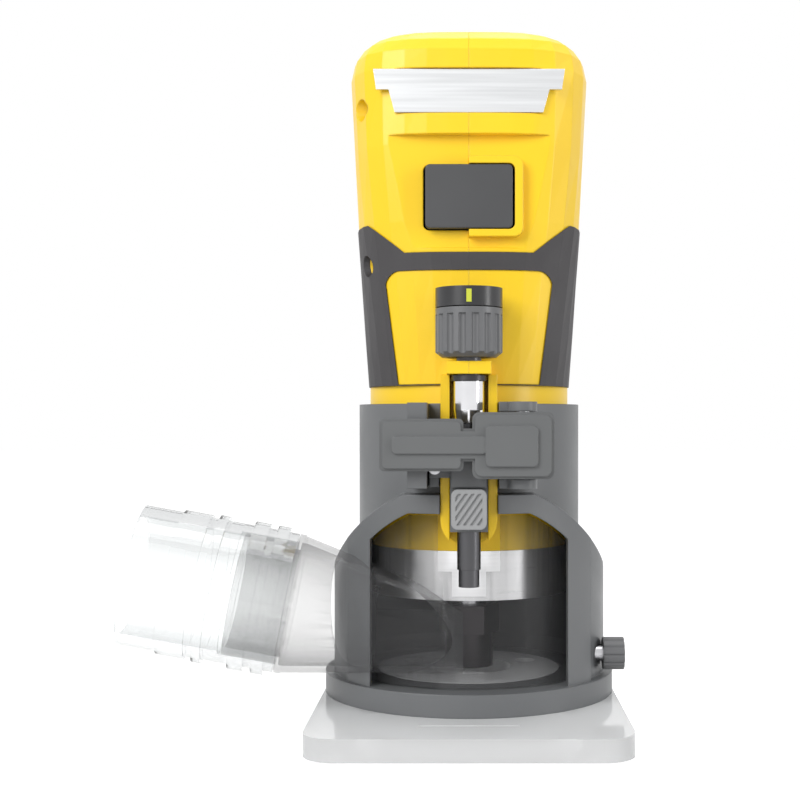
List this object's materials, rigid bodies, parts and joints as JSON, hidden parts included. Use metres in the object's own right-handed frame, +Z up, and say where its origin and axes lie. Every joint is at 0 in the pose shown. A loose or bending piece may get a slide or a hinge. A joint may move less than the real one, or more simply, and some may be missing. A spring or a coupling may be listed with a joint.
{
  "type": "trim router",
  "caption": "Cordless trim router: motor unit sliding on a depth screw in a clamped base, with dust shroud and hose port.",
  "frame": {"origin": "centre of the bit opening on the sole's lower face", "axes": "+Z up the spindle axis, -Y to the front with the switch and the clamp lever, +X to the user's right seen from the front"},
  "size_m": [0.1649, 0.1303, 0.2276],
  "materials": {
    "sole_plate": "clear polycarbonate",
    "sole_screws": "black oxide",
    "base_casting": "grey powder coat on cast aluminium",
    "tie_bolt": "zinc",
    "tie_nut": "zinc",
    "lever_pin": "ground",
    "clamp_lever": "fine texture",
    "dust_shroud": "smoky clear plastic",
    "hose_adapter": "clear plastic",
    "thumb_knob": "ribbed",
    "thumb_stud": "zinc",
    "depth_carriage": "fine texture",
    "carriage_screws": "zinc",
    "release_button": "satin",
    "button_spring": "spring steel",
    "housing_left": "satin yellow",
    "housing_right": "satin yellow",
    "grip_left": "moulded grip",
    "grip_right": "moulded grip",
    "badge_plate": "brushed",
    "housing_screws": "black oxide",
    "motor_nose": "turned",
    "nose_screws": "black oxide",
    "front_bearing": "ground",
    "rear_bearing": "ground",
    "stator_core": "laminated",
    "windings": "enamelled copper wire",
    "controller_board": "circuit board",
    "capacitors": "sleeved",
    "switch_unit": "moulded",
    "switch_rocker": "fine texture",
    "battery_dock": "moulded",
    "terminal_block": "moulded, nickel blades",
    "depth_knob": "ribbed",
    "depth_screw": "black oxide",
    "screw_sleeve": "polished",
    "retaining_ring": "black",
    "scale_ring": "satin black",
    "index_mark": "paint",
    "spindle_shaft": "ground",
    "rotor_core": "laminated",
    "rotor_magnets": "nickel",
    "fan": "moulded",
    "collet": "ground",
    "collet_nut": "black oxide"
  },
  "bodies": {
    "base": {"sole_plate": "sole_plate", "sole_screws": "sole_screws", "base_casting": "base_casting", "tie_bolt": "tie_bolt", "tie_nut": "tie_nut", "lever_pin": "lever_pin", "dust_shroud": "dust_shroud", "depth_carriage": "depth_carriage", "carriage_screws": "carriage_screws", "button_spring": "button_spring"},
    "clamp_lever": {"clamp_lever": "clamp_lever"},
    "hose_adapter": {"hose_adapter": "hose_adapter"},
    "thumb_screw": {"thumb_knob": "thumb_knob", "thumb_stud": "thumb_stud"},
    "release_button": {"release_button": "release_button"},
    "motor": {"housing_left": "housing_left", "housing_right": "housing_right", "grip_left": "grip_left", "grip_right": "grip_right", "badge_plate": "badge_plate", "housing_screws": "housing_screws", "motor_nose": "motor_nose", "nose_screws": "nose_screws", "front_bearing": "front_bearing", "rear_bearing": "rear_bearing", "stator_core": "stator_core", "windings": "windings", "controller_board": "controller_board", "capacitors": "capacitors", "switch_unit": "switch_unit", "battery_dock": "battery_dock", "terminal_block": "terminal_block"},
    "switch_rocker": {"switch_rocker": "switch_rocker"},
    "depth_knob": {"depth_knob": "depth_knob", "depth_screw": "depth_screw", "screw_sleeve": "screw_sleeve", "retaining_ring": "retaining_ring"},
    "scale_ring": {"scale_ring": "scale_ring", "index_mark": "index_mark"},
    "spindle": {"spindle_shaft": "spindle_shaft", "rotor_core": "rotor_core", "rotor_magnets": "rotor_magnets", "fan": "fan", "collet": "collet"},
    "collet_nut": {"collet_nut": "collet_nut"}
  },
  "joints": [
    {"name": "motor_slide", "type": "slide", "parent": "base", "child": "motor", "axis": [0, 0, 1], "range_m": [-0.005, 0.03]},
    {"name": "knob_turn", "type": "hinge", "parent": "motor", "child": "depth_knob", "pos_m": [0, -0.0465, 0.12], "axis": [0, 0, 1], "range_deg": [-901, 5401]},
    {"name": "scale_ring_turn", "type": "hinge", "parent": "depth_knob", "child": "scale_ring", "pos_m": [0, -0.0465, 0.139], "axis": [0, 0, 1], "range_deg": [-180, 180]},
    {"name": "spindle_spin", "type": "hinge", "parent": "motor", "child": "spindle", "pos_m": [0, 0, 0.06], "axis": [0, 0, 1], "continuous": true},
    {"name": "collet_nut_turn", "type": "hinge", "parent": "spindle", "child": "collet_nut", "pos_m": [0, 0, 0.03], "axis": [0, 0, 1], "range_deg": [0, 360]},
    {"name": "switch_rock", "type": "hinge", "parent": "motor", "child": "switch_rocker", "pos_m": [0, -0.03, 0.1728], "axis": [0, 0, 1], "range_deg": [0, 5]},
    {"name": "lever_swing", "type": "hinge", "parent": "base", "child": "clamp_lever", "pos_m": [0.0166, -0.0534, 0.093], "axis": [0, 0, 1], "range_deg": [0, 90]},
    {"name": "button_press", "type": "slide", "parent": "base", "child": "release_button", "axis": [0, 1, 0], "range_m": [0, 0.003], "stiffness_N_per_m": 800, "springref_m": -0.002, "deforming": ["button_spring"]},
    {"name": "thumb_screw_turn", "type": "hinge", "parent": "base", "child": "thumb_screw", "pos_m": [0.045, -0.018, 0.022], "axis": [1, 0, 0], "range_deg": [-720, 0]},
    {"name": "adapter_twist", "type": "hinge", "parent": "base", "child": "hose_adapter", "pos_m": [-0.058, -0.034, 0.041], "axis": [-0.9792, -0.0685, 0.1908], "range_deg": [0, 40]}
  ],
  "couplings": [
    {"joint": "knob_turn", "follows": "motor_slide", "rad_per_m": 3141.6}
  ]
}
